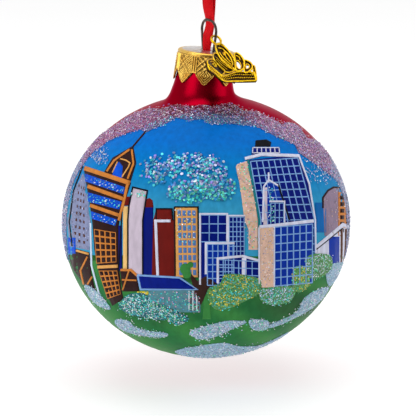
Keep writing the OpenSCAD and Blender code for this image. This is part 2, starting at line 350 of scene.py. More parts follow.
def smoothRoute(rows, steps):
    # Catmull-Rom points through the rows
    out = []
    for i in range(len(rows) - 1):
        a, b, c, d = (Vector(rows[min(max(k, 0), len(rows) - 1)]) for k in (i - 1, i, i + 1, i + 2))
        for k in range(steps):
            t = k / steps
            bend = (2 * a - 5 * b + 4 * c - d) + t * (3 * (b - c) + d - a)
            out.append(b + 0.5 * t * ((c - a) + t * bend))
    return out + [Vector(rows[-1])]


def roundOff(points, steps=4, closed=True):
    # Catmull-Rom points through a loop or an open line
    if not closed:
        return [tuple(p) for p in smoothRoute([list(q) for q in points], steps)]
    rows = [list(points[-1]), *[list(q) for q in points], list(points[0]), list(points[1])]
    route = smoothRoute(rows, steps)
    return [tuple(p) for p in route[steps:-steps - 1]]


def makeRibbon():
    r = ribbon["foldRadius"]
    fold = [[0, -r * math.cos(math.radians(a)), -ball["middle"] + r * math.sin(math.radians(a)), 0, 3]
            for a in range(0, 181, 20)]
    rows = frontTail + frontStrand + fold + backStrand[::-1] + backTail[::-1]
    route = smoothRoute(rows, ribbon["steps"])
    centres = [Vector(row[:3]) for row in route]
    bm = bmesh.new()
    lengthMap = bm.loops.layers.uv.new("ribbonLength")
    last, travelled, atRing = None, 0, {}
    for i, row in enumerate(route):
        way = (centres[min(i + 1, len(route) - 1)] - centres[max(i - 1, 0)]).normalized()
        side = Vector((math.cos(math.radians(row[3])), math.sin(math.radians(row[3])), 0))
        side = (side - side.dot(way) * way).normalized()
        turned = Matrix((side, way.cross(side), way)).transposed().to_4x4()
        turned.translation = centres[i]
        if i:
            travelled += (centres[i] - centres[i - 1]).length
        atEnd = i in (0, len(route) - 1)
        ring = bmesh.ops.create_circle(bm, segments=ribbon["sides"], radius=1, cap_ends=atEnd)
        half = row[4] / 2
        for v in ring["verts"]:
            atRing[v] = travelled
            thick = ribbon["thickness"] / 2 * v.co.y + ribbon["cup"] * v.co.x ** 2
            v.co = turned @ Vector((half * v.co.x, thick, 0))
        edges = list({e for v in ring["verts"] for e in v.link_edges})
        if last:
            bmesh.ops.bridge_loops(bm, edges=last + edges)
        last = edges
    bmesh.ops.recalc_face_normals(bm, faces=bm.faces)
    for face in bm.faces:
        for loop in face.loops:
            loop[lengthMap].uv = (0, atRing[loop.vert] * ribbon["weaves"])
    piece = makePiece("satinRibbon", bm, plainFrame, satin, "ribbon",
                      ("ribbon_bight", "ribbon_strands", "ribbon_tails"), parent=False)
    path = [plainFrame @ c for c in centres]
    return piece, path, travelled * 0.001


knotShape = {"across": 0.72, "deep": 0.3, "high": 0.45, "lobes": 1.5, "cord": 0.62, "up": 9.4}


def makeKnot():
    # A trefoil knot, squeezed to sit across the hole under the cap
    knot, lobes = knotShape, knotShape["lobes"]
    turns = [2 * pi * k / 48 for k in range(48)]
    points = [(knot["across"] * (math.sin(t) + lobes * math.sin(2 * t)),
               knot["deep"] * (math.cos(t) - lobes * math.cos(2 * t)), knot["high"] * math.sin(3 * t))
              for t in turns]
    bm = bmesh.new()
    ropeMesh(bm, [(points, knot["cord"], True)], 4)
    place = neckFrame @ shift(0, 0, knot["up"])
    return makePiece("ribbonKnot", bm, place, satin, "cap", ("stopper_knot",))


ribbonPiece, ribbonPath, ribbonLength = makeRibbon()
knotPiece = makeKnot()
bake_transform(ribbonPiece)
print("ribbon made,", round(ribbonLength * 1000), "mm long")

# Ball and neck

shoulder = [(12.75, 35.19), (11.35, 35.78), (10.2, 36.6), (9.3, 37.8), (8.7, 39.4), (8.25, 41.3), (7.9, 43.2),
            (7.65, 45.2), (7.45, 47.2), (7.4, 48.1)]
ballShape = {"segments": 160, "step": 2.5, "bendFrom": 35.5, "bendTo": 39.5}


def leanNeck(point):
    # Above the shoulder the neck leans away from the ball's own axis
    t = (point.z - ballShape["bendFrom"]) / (ballShape["bendTo"] - ballShape["bendFrom"])
    t = min(max(t, 0), 1)
    angle = (ball["lean"] + neck["lean"]) * t * t * (3 - 2 * t)
    return shift(0, 0, neck["foot"]) @ turn(angle, "Y") @ shift(0, 0, -neck["foot"]) @ point


def ballOutline(inset):
    outline = [(0, -ball["down"])]
    angle = -90 + ballShape["step"]
    while angle < 71.9:
        half = ball["down"] if angle < 0 else ball["up"]
        outline.append((ball["across"] * math.cos(math.radians(angle)), half * math.sin(math.radians(angle))))
        angle += ballShape["step"]
    outline += [(p[0], p[1]) for p in smoothRoute([list(p) for p in shoulder], 3)]
    inner = [(0, -ball["down"] + inset)]
    aboveRim = (outline[-1][0], outline[-1][1] + 1)
    for (x0, z0), (x, z), (x1, z1) in zip(outline, outline[1:], outline[2:] + [aboveRim]):
        run = Vector((x1 - x0, z1 - z0)).normalized()
        inner.append((x - inset * run.y, z + inset * run.x))
    return inner


def makeShell(name, inset, thickness, material, node):
    bm = bmesh.new()
    verts = [bm.verts.new((x, 0, z)) for x, z in ballOutline(inset)]
    edges = [bm.edges.new(pair) for pair in zip(verts, verts[1:])]
    bmesh.ops.spin(bm, geom=verts + edges, axis=(0, 0, 1), cent=(0, 0, 0), angle=2 * pi,
                   steps=ballShape["segments"], use_merge=True, use_duplicate=False)
    bmesh.ops.remove_doubles(bm, verts=bm.verts, dist=0.0005)
    for v in bm.verts:
        v.co = leanNeck(v.co)
    bmesh.ops.recalc_face_normals(bm, faces=bm.faces)
    if max(bm.faces, key=lambda f: f.calc_center_median().x).normal.x < 0:
        bmesh.ops.reverse_faces(bm, faces=bm.faces)
    piece = makePiece(name, bm, ballFrame, material, "ball", (node,))
    wall = piece.modifiers.new("wall", "SOLIDIFY")
    wall.thickness = thickness * 0.001
    wall.offset = -1
    applyModifiers(piece)


makeShell("lacquerSkin", 0, 0.09, lacquer, "red_coat")
makeShell("glassBall", 0.1, 0.6, clearGlass, "glass_ball")
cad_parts["wire_hanger"].data.materials.clear()
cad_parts["wire_hanger"].data.materials.append(wireSteel)
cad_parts["wire_hanger"].data.shade_smooth()
print("ball made")

# The painting is laid out flat: x to the right and u up, in millimetres, as the eye sees it on the ball

toBall = turn(ball["lean"], "Y")
eye = toBall @ eyePlace
right = toBall @ Vector((1, 0, 0))
upward = toBall @ sightUp
wrap = 0.97      # past this share of the ball's width the picture runs evenly round the side
coatThickness = 0.09


def onBall(x, u, lift):
    aim = x * right + u * upward
    for half in (ball["up"], ball["down"]):
        shrink = Matrix.Diagonal((1 / ball["across"], 1 / ball["across"], 1 / half))
        start = shrink @ eye
        way = (shrink @ aim - start).normalized()
        near = start - start.dot(way) * way
        reach = near.length
        if reach < wrap:
            angle = math.asin(reach)
        else:
            angle = math.asin(wrap) + (reach - wrap) / math.sqrt(1 - wrap * wrap)
        hit = near.normalized() * math.sin(angle) - way * math.cos(angle)
        if (hit.z >= 0) == (half == ball["up"]):
            break
    outward = (shrink @ hit).normalized()
    return shrink.inverted() @ hit + outward * lift, outward, math.cos(angle)


palette = {
    "skyTop": (0, 112, 206), "skyMiddle": (0, 128, 196), "skyLow": (56, 156, 198), "horizon": (20, 105, 180),
    "darkBrown": (50, 30, 30), "brown": (92, 56, 42), "orange": (206, 128, 58), "tan": (228, 166, 92),
    "cream": (236, 192, 122), "pinkWhite": (204, 190, 206), "darkRed": (112, 26, 22), "navy": (6, 24, 118),
    "roofNavy": (10, 30, 132), "glassBlue": (12, 84, 214), "deepBlue": (8, 50, 160),
    "paneLine": (128, 170, 224), "whiteLine": (216, 218, 238), "black": (22, 24, 30),
    "peach": (228, 190, 170), "green": (36, 112, 60), "darkGreen": (42, 84, 50), "lawn": (60, 134, 66),
    "teal": (30, 120, 130), "grey": (120, 130, 160), "facade": (136, 144, 180), "dusk": (150, 130, 152),
    "mauve": (196, 126, 176), "wine": (130, 30, 60), "lilac": (186, 190, 226), "ice": (206, 222, 242),
    "white": (244, 246, 250), "cyan": (70, 214, 222), "mint": (96, 224, 176), "turquoise": (40, 190, 190),
    "violet": (140, 130, 216), "pink": (226, 170, 200), "yellow": (236, 214, 70), "leaf": (96, 170, 90),
    "snowBlue": (172, 214, 236), "wall": (90, 140, 152), "earth": (58, 38, 34), "steel": (90, 130, 190),
}


def newCanvas():
    bm = bmesh.new()
    bm.verts.layers.float_color.new("Tint")
    return bm


def addVert(bm, point, colour, lift):
    v = bm.verts.new((point[0], point[1], lift))
    v[bm.verts.layers.float_color["Tint"]] = linear(palette[colour])
    return v


def patch(bm, outline, colour, lift):
    return bm.faces.new([addVert(bm, p, colour, lift) for p in outline])


def block(bm, x0, x1, u0, u1, colour, lift):
    patch(bm, [(x0, u0), (x1, u0), (x1, u1), (x0, u1)], colour, lift)


def stroke(bm, points, width, colour, lift, closed=False):
    # A raised line of paint, four vertices across
    pts = [Vector(p).to_2d() for p in points]
    count = len(pts)
    rows = []
    for i, p in enumerate(pts):
        came = (p - pts[i - 1]).normalized() if i or closed else None
        goes = (pts[(i + 1) % count] - p).normalized() if i < count - 1 or closed else None
        came = came or goes
        goes = goes or came
        along = (came + goes).normalized()
        side = Vector((-along.y, along.x))
        reach = width / max(0.6, side.dot(Vector((-goes.y, goes.x))))
        rows.append([addVert(bm, p + side * reach * at, colour, lift + rise)
                     for at, rise in ((0.5, 0), (0.26, 0.05), (-0.26, 0.05), (-0.5, 0))])
    pairs = list(zip(rows, rows[1:])) + ([(rows[-1], rows[0])] if closed else [])
    for a, b in pairs:
        for k in range(3):
            bm.faces.new([a[k], a[k + 1], b[k + 1], b[k]])


def inQuad(quad, s, t):
    lowLeft, lowRight, topRight, topLeft = (Vector(c) for c in quad)
    return lowLeft.lerp(lowRight, s).lerp(topLeft.lerp(topRight, s), t)


def panes(bm, quad, columns, rows, gap, colour, lift):
    for i in range(columns):
        for j in range(rows):
            s0, s1 = (i + gap) / columns, (i + 1 - gap) / columns
            t0, t1 = (j + gap) / rows, (j + 1 - gap) / rows
            patch(bm, [inQuad(quad, *c) for c in ((s0, t0), (s1, t0), (s1, t1), (s0, t1))], colour, lift)


def gridLines(bm, quad, columns, rows, width, colour, lift):
    for i in range(columns + 1):
        stroke(bm, [inQuad(quad, i / columns, 0), inQuad(quad, i / columns, 1)], width, colour, lift)
    for j in range(rows + 1):
        stroke(bm, [inQuad(quad, 0, j / rows), inQuad(quad, 1, j / rows)], width, colour, lift)


def layOnBall(bm, step, shade=None):
    bmesh.ops.triangulate(bm, faces=[f for f in bm.faces if len(f.verts) > 4])
    reach = max(max(abs(v.co.x), abs(v.co.y)) for v in bm.verts)
    for axis in (0, 1):
        at = -reach
        while at < reach:
            normal = (1, 0, 0) if axis == 0 else (0, 1, 0)
            place = (at, 0, 0) if axis == 0 else (0, at, 0)
            bmesh.ops.bisect_plane(bm, geom=bm.verts[:] + bm.edges[:] + bm.faces[:], dist=0.0001,
                                   plane_co=place, plane_no=normal)
            at += step
    tint = bm.verts.layers.float_color["Tint"]
    for v in bm.verts:
        if shade:
            v[tint] = shade(v.co.x, v.co.y)
        v.co = onBall(v.co.x, v.co.y, v.co.z)[0]
    bm.normal_update()
    inside = [f for f in bm.faces if f.normal.dot(f.calc_center_median()) < 0]
    bmesh.ops.reverse_faces(bm, faces=inside)


def mixColour(first, second, share):
    share = min(max(share, 0), 1)
    a, b = linear(palette[first]), linear(palette[second])
    return tuple(p + (q - p) * share for p, q in zip(a, b))


def paintPiece(name, bm, material=paint, replaced=()):
    piece = makePiece(name, bm, ballFrame, material, "ball", replaced)
    coat = piece.modifiers.new("coat", "SOLIDIFY")
    coat.thickness = coatThickness * 0.001
    coat.offset = -1
    applyModifiers(piece)


def skyShade(x, u):
    if u > 14:
        return mixColour("skyMiddle", "skyTop", (u - 14) / 9)
    return mixColour("skyLow", "skyMiddle", (u - 3) / 11)


skyEdge = [(-43, -10), (-44, 2), (-41, 12), (-36, 18), (-31, 22.5), (-24, 26.5), (-12, 30), (0, 31),
           (12, 29.5), (22, 25.5), (28, 21.5), (33, 17.5), (39, 12), (43, 5), (44, -2), (43, -10), (30, -14),
           (15, -17), (0, -18), (-15, -18), (-30, -15)]


def paintSky():
    bm = newCanvas()
    patch(bm, skyEdge, "skyMiddle", 0.1)
    layOnBall(bm, 1.0, skyShade)
    paintPiece("paintedSky", bm, replaced=("painted_sky",))


def groundShade(x, u):
    # two dark hollows under the bushes
    hollow = math.exp(-((x - 24) / 10) ** 2 - ((u + 24) / 5) ** 2)
    hollow += 0.6 * math.exp(-((x + 12) / 9) ** 2 - ((u + 27) / 3) ** 2)
    base = mixColour("green", "lawn", 0.5 + 0.5 * math.sin(0.35 * x + 0.5 * u))
    dark = linear(palette["darkGreen"])
    return tuple(p + (q - p) * min(hollow, 0.85) for p, q in zip(base, dark))


def paintGround():
    bm = newCanvas()
    rim = [(43.5 * math.cos(math.radians(a)), 41 * math.sin(math.radians(a))) for a in range(196, 347, 10)]
    patch(bm, [(-42, -9.5), *rim, (42, -9.5), (30, -10), (24, -17), (0, -19), (-24, -19), (-33, -15)],
          "green", 0.12)
    layOnBall(bm, 1.0, groundShade)
    paintPiece("paintedGround", bm, replaced=("painted_ground",))


def paintLeftTower(bm):
    patch(bm, [(-35.3, 15.8), (-33.2, 3), (-32.8, 0), (-32.2, -7.9), (-30.8, -15.1), (-28.5, -21.1),
               (-27, -24.2), (-23.8, -22.2), (-24.5, -18.2), (-25.2, -10.8), (-25.2, -2), (-24.9, 0.7),
               (-21.6, 11.3)],
          "darkBrown", 0.16)
    patch(bm, [(-29.4, 14.4), (-21.8, 11.4), (-20.1, 17), (-20.9, 21.6), (-21.4, 21.8), (-27, 18.5)],
          "darkBrown", 0.15)
    stroke(bm, [(-21.1, 21.7), (-17.3, 26.2)], 0.5, "darkBrown", 0.17)
    stroke(bm, [(-22, 20.9), (-26.5, 17.7), (-28.6, 14.6)], 0.55, "orange", 0.19)
    stroke(bm, [(-21.4, 20.9), (-20.9, 16.8), (-22.6, 12.4)], 0.55, "orange", 0.19)
    stroke(bm, [(-24.7, 18.2), (-23.1, 17.8), (-21.9, 17), (-22.3, 15.9), (-24.2, 13)], 0.4, "tan", 0.19)
    stroke(bm, [(-25.5, 17.4), (-27, 14.2)], 0.3, "tan", 0.19)
    patch(bm, [(-27, 13.4), (-24.2, 12.6), (-24, 16), (-25.1, 17.4), (-26.6, 15.6)], "glassBlue", 0.19)
    for start, end, width in (((-35, 15.5), (-21.9, 11.2), 1.3), ((-34.1, 10.3), (-23.7, 6.6), 1.1),
                              ((-33.4, 4.8), (-25, 1.9), 1.0)):
        stroke(bm, [start, end], width, "orange", 0.2)
    stroke(bm, [(-22.5, 11.2), (-23.9, 5), (-25.1, 0.4)], 0.8, "orange", 0.21)
    for band in ([(-34.8, 11.7), (-23.7, 8), (-23.4, 10), (-34.8, 13.9)],
                 [(-33.9, 5.8), (-25, 3.6), (-24.3, 5.8), (-34.2, 8.6)],
                 [(-32.8, 0.9), (-26.2, -1.1), (-25.6, 0.7), (-33.2, 3.1)]):
        patch(bm, band, "glassBlue", 0.19)
    upper = [(-31.6, -12), (-25.8, -11.6), (-26, -3), (-32.3, -2)]
    lower = [(-28.4, -22.2), (-24.6, -20.8), (-25.6, -14), (-31, -14)]
    patch(bm, upper, "orange", 0.18)
    panes(bm, upper, 4, 5, 0.13, "darkBrown", 0.2)
    patch(bm, lower, "orange", 0.18)
    panes(bm, lower, 4, 5, 0.14, "darkBrown", 0.2)
    stroke(bm, [(-31.3, -13), (-25.4, -12.7)], 0.9, "tan", 0.2)
    stroke(bm, [(-33.3, -0.3), (-33, -12.5), (-30.8, -20.8)], 0.5, "ice", 0.19)
    patch(bm, [(-35.5, 14), (-38.5, 8), (-40, 0), (-39.3, -7), (-33.6, -8.2), (-33.2, 0), (-33.9, 3),
               (-33.8, 7.5), (-34.9, 8.5), (-34.6, 12)], "facade", 0.15)
    panes(bm, [(-38.7, -6), (-34.4, -7), (-35, 10.5), (-36.8, 11.5)], 3, 9, 0.3, "brown", 0.17)
    patch(bm, [(-37.6, -7.7), (-39.8, -9.7), (-38.6, -13.4), (-34.6, -18.6), (-31.6, -20.8), (-33, -15),
               (-33.6, -8.8)],
          "darkBrown", 0.17)
    stroke(bm, [(-34.2, -10), (-36.2, -14), (-35.3, -18)], 0.5, "orange", 0.19)
    stroke(bm, [(-32.8, -15.7), (-34.2, -18)], 0.5, "orange", 0.19)
    stroke(bm, [(-37.4, -8.2), (-33.8, -9.2)], 0.6, "tan", 0.19)
    block(bm, -39.8, -37.6, -9.1, -4.5, "glassBlue", 0.18)
    stroke(bm, [(-35.6, 16), (-38.2, 9), (-39.4, 0), (-38.6, -7)], 0.35, "black", 0.2)
    block(bm, -25.2, -24.2, -14, -1, "navy", 0.17)
    block(bm, -23.9, -22.5, -13.6, 4.5, "cream", 0.17)
    block(bm, -23.6, -22, 4.7, 7.3, "darkRed", 0.17)
    stroke(bm, [(-25.2, -14.2), (-24.1, 4.8), (-23.6, 7.4)], 0.35, "black", 0.2)


def paintMiddleBlocks(bm):
    patch(bm, [(-21.1, 10), (-22.2, 4.5), (-22.5, 0.6), (-22.5, -13.5), (-18.2, -15.7), (-18.2, 0.6),
               (-16.9, 9)],
          "pinkWhite", 0.18)
    stroke(bm, [(-22.5, -13.6), (-22.5, 0.6), (-22.2, 4.5), (-21.1, 10), (-16.9, 9), (-18.2, 0.6),
                (-18.2, -15.7)],
           0.45, "black", 0.21)
    patch(bm, [(-17.7, 4.2), (-15.1, 4.2), (-15.4, 6.2), (-16.2, 6.9), (-17.2, 6.6)], "darkRed", 0.16)
    patch(bm, [(-18, 4.2), (-18, -15.7), (-15.6, -18.5), (-15.2, 4.2)], "navy", 0.17)
    patch(bm, [(-15.6, -15.7), (-15.2, 0.6), (-14.3, 3.7), (-9.9, 3.7), (-9.4, 0.6), (-7.9, 0.3),
               (-7.9, -15.7)],
          "darkRed", 0.18)
    stroke(bm, [(-14.4, 0.8), (-14.3, 3.8), (-9.8, 3.8), (-9.6, 0.5)], 0.4, "black", 0.21)
    stroke(bm, [(-10.2, 0.3), (-14.5, 0.3), (-13.9, -15.4)], 0.8, "whiteLine", 0.22)
    patch(bm, [(-9, -15.9), (-2.2, -15.9), (-2.4, 4.2), (-9, 4.2)], "tan", 0.19)
    grid = [(-7.9, -15.6), (-2.6, -15.6), (-2.8, 3.6), (-8.4, 3.6)]
    panes(bm, grid, 4, 9, 0.14, "steel", 0.21)
    stroke(bm, [(-9.2, 4.3), (-2.3, 4.3), (-2.1, -15.9)], 0.4, "black", 0.22)
    stroke(bm, [(-9.1, 4.2), (-8.9, -15.6)], 0.5, "darkBrown", 0.22)


def paintLowTowers(bm):
    block(bm, -1.9, 6.2, -18, 2.2, "navy", 0.19)
    gridLines(bm, [(-1.6, -5.7), (6, -5.7), (6, 2), (-1.6, 2)], 3, 3, 0.3, "paneLine", 0.21)
    stroke(bm, [(-1.7, -18), (-1.7, 2.3), (6.1, 2.3), (6.1, -5.7)], 0.55, "whiteLine", 0.23)
    block(bm, 6.5, 11.2, -10, 1.6, "navy", 0.19)
    gridLines(bm, [(6.7, -9.8), (11, -9.8), (11, 1.4), (6.7, 1.4)], 4, 8, 0.26, "paneLine", 0.21)
    stroke(bm, [(6.4, -9.8), (6.4, 1.8), (11.3, 1.8)], 0.45, "whiteLine", 0.23)
    block(bm, -0.4, 8.2, -18.4, -6, "deepBlue", 0.21)
    gridLines(bm, [(0.4, -18.2), (8, -18.2), (8, -6.4), (0.4, -6.4)], 5, 6, 0.3, "paneLine", 0.23)
    stroke(bm, [(0, -15), (0, -6.1), (8.2, -6.1)], 0.7, "whiteLine", 0.25)
    patch(bm, [(3, -17.7), (15.4, -17.7), (15.4, -11.1), (10.5, -9.8), (3, -10.4)], "navy", 0.23)
    gridLines(bm, [(3.6, -17.5), (15.2, -17.5), (15.2, -11.4), (3.6, -10.8)], 6, 3, 0.28, "paneLine", 0.25)
    stroke(bm, [(3.4, -17.6), (3.4, -10.5), (10.5, -9.8), (15.4, -11.1)], 0.7, "whiteLine", 0.27)
    block(bm, 10.3, 11.6, -16, -10.3, "whiteLine", 0.27)


def paintBigTower(bm):
    patch(bm, [(14.1, 21.7), (18.6, 21.7), (18.8, 23), (17.4, 23.8), (14.3, 23.5)], "black", 0.17)
    patch(bm, [(13.1, 19), (21.4, 19.2), (21.2, 21.5), (13.3, 21.5)], "navy", 0.18)
    gridLines(bm, [(13.4, 19.9), (21.2, 19.9), (21, 21.4), (13.5, 21.4)], 6, 1, 0.28, "whiteLine", 0.2)
    patch(bm, [(9, 16.6), (12, 17.6), (13.2, 12.4), (14.4, 5.3), (15, 0.6), (15, -8), (12.3, -8),
               (12.3, -2.3), (11.1, 0.6), (10.5, 5.3), (9.7, 11), (8.6, 15.9)], "peach", 0.18)
    patch(bm, [(12.2, 17.8), (15.4, 0.6), (15.4, -8), (31.6, -9), (31.4, 0.6), (29.7, 11), (26.6, 19.4)],
          "navy", 0.2)
    gridLines(bm, [(15.8, 0.6), (31.2, 0.6), (26.4, 18.4), (12.8, 17.4)], 8, 8, 0.32, "paneLine", 0.22)
    gridLines(bm, [(15.8, -8), (31.4, -8.6), (31.2, 0.6), (15.8, 0.6)], 8, 4, 0.3, "paneLine", 0.22)
    stroke(bm, [(11.2, 18.2), (16, 19.4), (26.8, 19)], 0.9, "whiteLine", 0.26)
    stroke(bm, [(12.1, 17.8), (14.2, 7), (15.3, 0.6), (15.3, -8)], 0.7, "teal", 0.24)
    stroke(bm, [(26.6, 19.4), (29.7, 11), (31.4, 0.6), (31.6, -9)], 0.5, "whiteLine", 0.24)
    patch(bm, [(15.9, 0), (16.2, 9.6), (17.2, 11.4), (17.9, 14), (18.7, 11.6), (20.8, 10.5), (23.9, 0.4)],
          "deepBlue", 0.25)
    stroke(bm, [(18, 14.2), (18, 11.4)], 0.5, "whiteLine", 0.29)
    stroke(bm, [(16.3, 0), (16.6, 10.1), (18, 12.1), (20.8, 10.4)], 0.5, "whiteLine", 0.28)
    block(bm, 16.5, 17.6, -1, 9.9, "pinkWhite", 0.27)
    stroke(bm, [(20.8, 10.7), (22.4, 5.6), (24, 0.6)], 0.5, "black", 0.29)
    block(bm, 18.4, 22.4, -1, 5.9, "navy", 0.28)
    gridLines(bm, [(18.6, -0.8), (22.3, -0.8), (22.3, 5.4), (18.6, 5.4)], 3, 3, 0.28, "paneLine", 0.3)
    stroke(bm, [(18.2, 5.9), (22.5, 5.9), (22.5, -0.4)], 0.5, "whiteLine", 0.31)
    patch(bm, [(15.4, -18.8), (15.2, -1.3), (19.6, -0.9), (19.6, -18.8)], "peach", 0.29)
    patch(bm, [(19.5, -18.6), (19.5, -1), (30.8, 0), (30.6, -17.6)], "deepBlue", 0.29)
    gridLines(bm, [(19.7, -18.4), (30.5, -17.4), (30.6, -0.6), (19.7, -1.5)], 6, 7, 0.34, "paneLine", 0.31)
    stroke(bm, [(15.4, -1.4), (19.6, -1), (30.9, 0.3)], 0.9, "whiteLine", 0.33)
    stroke(bm, [(15.2, -1.6), (15.3, -17.6)], 0.45, "whiteLine", 0.33)
    stroke(bm, [(19.6, -1.4), (19.6, -18.6)], 0.4, "whiteLine", 0.33)


def paintRightEdge(bm):
    patch(bm, [(33.7, 7), (35.1, 9), (36.8, 10), (38.4, 9.9), (38.6, -4), (34.2, -4)], "dusk", 0.17)
    stroke(bm, [(33.7, 4), (33.7, 7), (35.1, 9), (36.8, 10), (38.5, 9.9)], 0.5, "darkBrown", 0.2)
    block(bm, 38.1, 42.5, -4, 8.6, "orange", 0.18)
    panes(bm, [(38.3, -3.4), (42, -3.4), (42, 8), (38.3, 8)], 2, 6, 0.2, "darkBrown", 0.2)
    block(bm, 31.4, 34.6, -3, 5.6, "horizon", 0.16)
    patch(bm, [(31.7, -12.8), (42.5, -12.8), (42.5, -2.5), (39, -1.4), (32, -7)], "whiteLine", 0.19)
    block(bm, 35.4, 38.4, -12.8, -4.2, "deepBlue", 0.21)
    for at in (38.8, 40, 41.3):
        block(bm, at, at + 0.6, -12, -2, "brown", 0.21)
    stroke(bm, [(31.8, -7.2), (39.4, -0.8), (42.4, -1.8)], 1.0, "whiteLine", 0.25)
    stroke(bm, [(31.7, -7.9), (39.3, -1.8)], 0.35, "black", 0.24)


def paintHouses(bm):
    patch(bm, [(-16.8, -26), (-1.6, -26), (-1.6, -18.4), (-16.8, -18.4)], "wall", 0.19)
    for k in range(6):
        block(bm, -5 + k * 0.55, -4.75 + k * 0.55, -25.5, -19.8, "darkRed" if k % 2 else "white", 0.21)
    patch(bm, [(-20, -15.2), (-18.9, -19.6), (-2.3, -19.6), (-7.6, -15.9)], "roofNavy", 0.22)
    stroke(bm, [(-19.7, -15.3), (-18.8, -19.4), (-2.5, -19.4), (-7.6, -16)], 0.55, "paneLine", 0.24, True)
    patch(bm, [(-24.8, -13.6), (-24, -20), (-19.2, -20), (-19.8, -15), (-21.6, -13.6)], "darkBrown", 0.2)
    stroke(bm, [(-24.6, -13.8), (-21.6, -13.8), (-19.8, -15.4)], 0.7, "orange", 0.23)
    stroke(bm, [(-24.2, -16.6), (-20, -16.8)], 0.45, "orange", 0.22)
    stroke(bm, [(-24, -19.6), (-22.2, -14)], 0.45, "orange", 0.22)
    patch(bm, [(-20, -21), (-16.5, -20.9), (-16.6, -20), (-19.8, -20)], "yellow", 0.22)
    patch(bm, [(-5, -14), (-3.6, -19), (-1.5, -24), (0.5, -19.5), (3.5, -18), (0, -15.5), (-2.5, -17)],
          "earth", 0.24)
    patch(bm, [(-1, -28), (-0.4, -20), (1, -20), (1.5, -28)], "lawn", 0.2)
    for x, u, r in ((-4.5, -12.3, 0.9), (-6, -13.5, 1.6), (-5.5, -15, 1.3)):
        patch(bm, [(x + r * math.cos(a * pi / 5), u + r * math.sin(a * pi / 5)) for a in range(10)], "lawn",
              0.25)


def paintBuildings():
    bm = newCanvas()
    for paintPart in (paintLeftTower, paintMiddleBlocks, paintLowTowers, paintBigTower, paintRightEdge,
                      paintHouses):
        paintPart(bm)
    layOnBall(bm, 1.5)
    paintPiece("paintedCity", bm, replaced=("painted_buildings",))


paintSky()
paintGround()
paintBuildings()
print("picture painted")

# Glitter

borderTop = [(-43.5, -11), (-44, 3), (-42, 12), (-39, 17.5), (-36, 21.5), (-31.3, 25.5), (-26.8, 27.6),
             (-22.2, 30.7), (-16.5, 32.7), (-12.5, 32.7), (-9, 33.9), (-6.8, 35.1), (-4.2, 34.4),
             (-2.2, 35.3), (-0.2, 35.1), (2, 32.9), (3.1, 34.4), (5.1, 35.3), (7.1, 34.4), (9.1, 33.3),
             (11.1, 32.1), (14.3, 31.9), (17.7, 30.4), (20.5, 29), (22, 28.2), (23.4, 28.7), (26.3, 27.9),
             (28.6, 25), (29.7, 24), (33, 23.5), (37, 19.9), (41.5, 10.7), (44, 3.5), (43.5, -11)]
borderLow = [(40.6, -11), (40.8, 0), (39.7, 6.7), (38.8, 9.6), (36.6, 13), (29.1, 18.4), (26.8, 19.9),
             (25.7, 22.1), (24, 23), (20.5, 24.5), (17.7, 25.9), (14.3, 27.6), (10.3, 27.9), (6.8, 28.3),
             (2.5, 28.2), (0, 28.7), (-1.1, 29.6), (-5.1, 29.3), (-8.5, 30), (-11.9, 28.2), (-15.6, 26.7),
             (-17.3, 25.9), (-19.4, 26.7), (-23.6, 25.3), (-27.9, 23.6), (-29.9, 22.1), (-32.8, 19.9),
             (-35.1, 17), (-37.1, 13.9), (-38.8, 9.6), (-40.2, 2), (-40.4, -11)]
cloudShapes = [
    [(-18.5, 14.7), (-15.3, 18.2), (-10.2, 18.2), (-5.6, 19.3), (-1.6, 19.6), (2, 18.7), (4.5, 16.4),
     (6.6, 14.5), (5, 11.4), (-4.2, 11), (-4.2, 14.2), (-7.9, 14.2), (-13.4, 10.7), (-17.6, 13)],
    [(-11.6, 8.2), (-9.3, 10.7), (-5.1, 11), (2.6, 11.8), (8, 11.6), (8.3, 9.6), (6.3, 6.4), (3, 6.6),
     (-0.5, 7), (-5.1, 5.6), (-8.8, 6.4), (-10.8, 7.3)],
]
smallClouds = [
    [(-33, 18.4), (-32.4, 21), (-30.2, 22.2), (-28, 20.6), (-28.2, 17.8), (-30.4, 16.4)],
    [(28.5, 15), (29.5, 18.4), (33.4, 18), (36.3, 14.6), (35.4, 11.6), (31, 11)],
]
bushShapes = [
    [(-25, -23.4), (-22.2, -20.8), (-17.9, -20.5), (-16, -22.5), (-10, -25), (-7.3, -26.2), (-5.1, -28),
     (-8.5, -29.7), (-11, -27.4), (-12.2, -28.2), (-16.5, -27.7), (-22.2, -26.5), (-24.5, -24.8)],
    [(0.5, -19.4), (4, -17.7), (5.4, -15.1), (10.3, -15.1), (15.4, -16.5), (15.4, -20.2), (10.5, -23.1),
     (4.5, -25.4), (1.4, -23.7)],
    [(15.4, -19.6), (18, -18.8), (25.3, -18.6), (24.6, -22.4), (20, -23.8), (15.8, -22.6)],
    [(24.8, -15), (26, -12.7), (29.2, -13.2), (29.6, -18), (27, -20.2), (25, -19)],
    [(28.8, -10.6), (31, -9.2), (35.7, -9.6), (36, -13.4), (32, -16.2), (29, -15.4)],
]
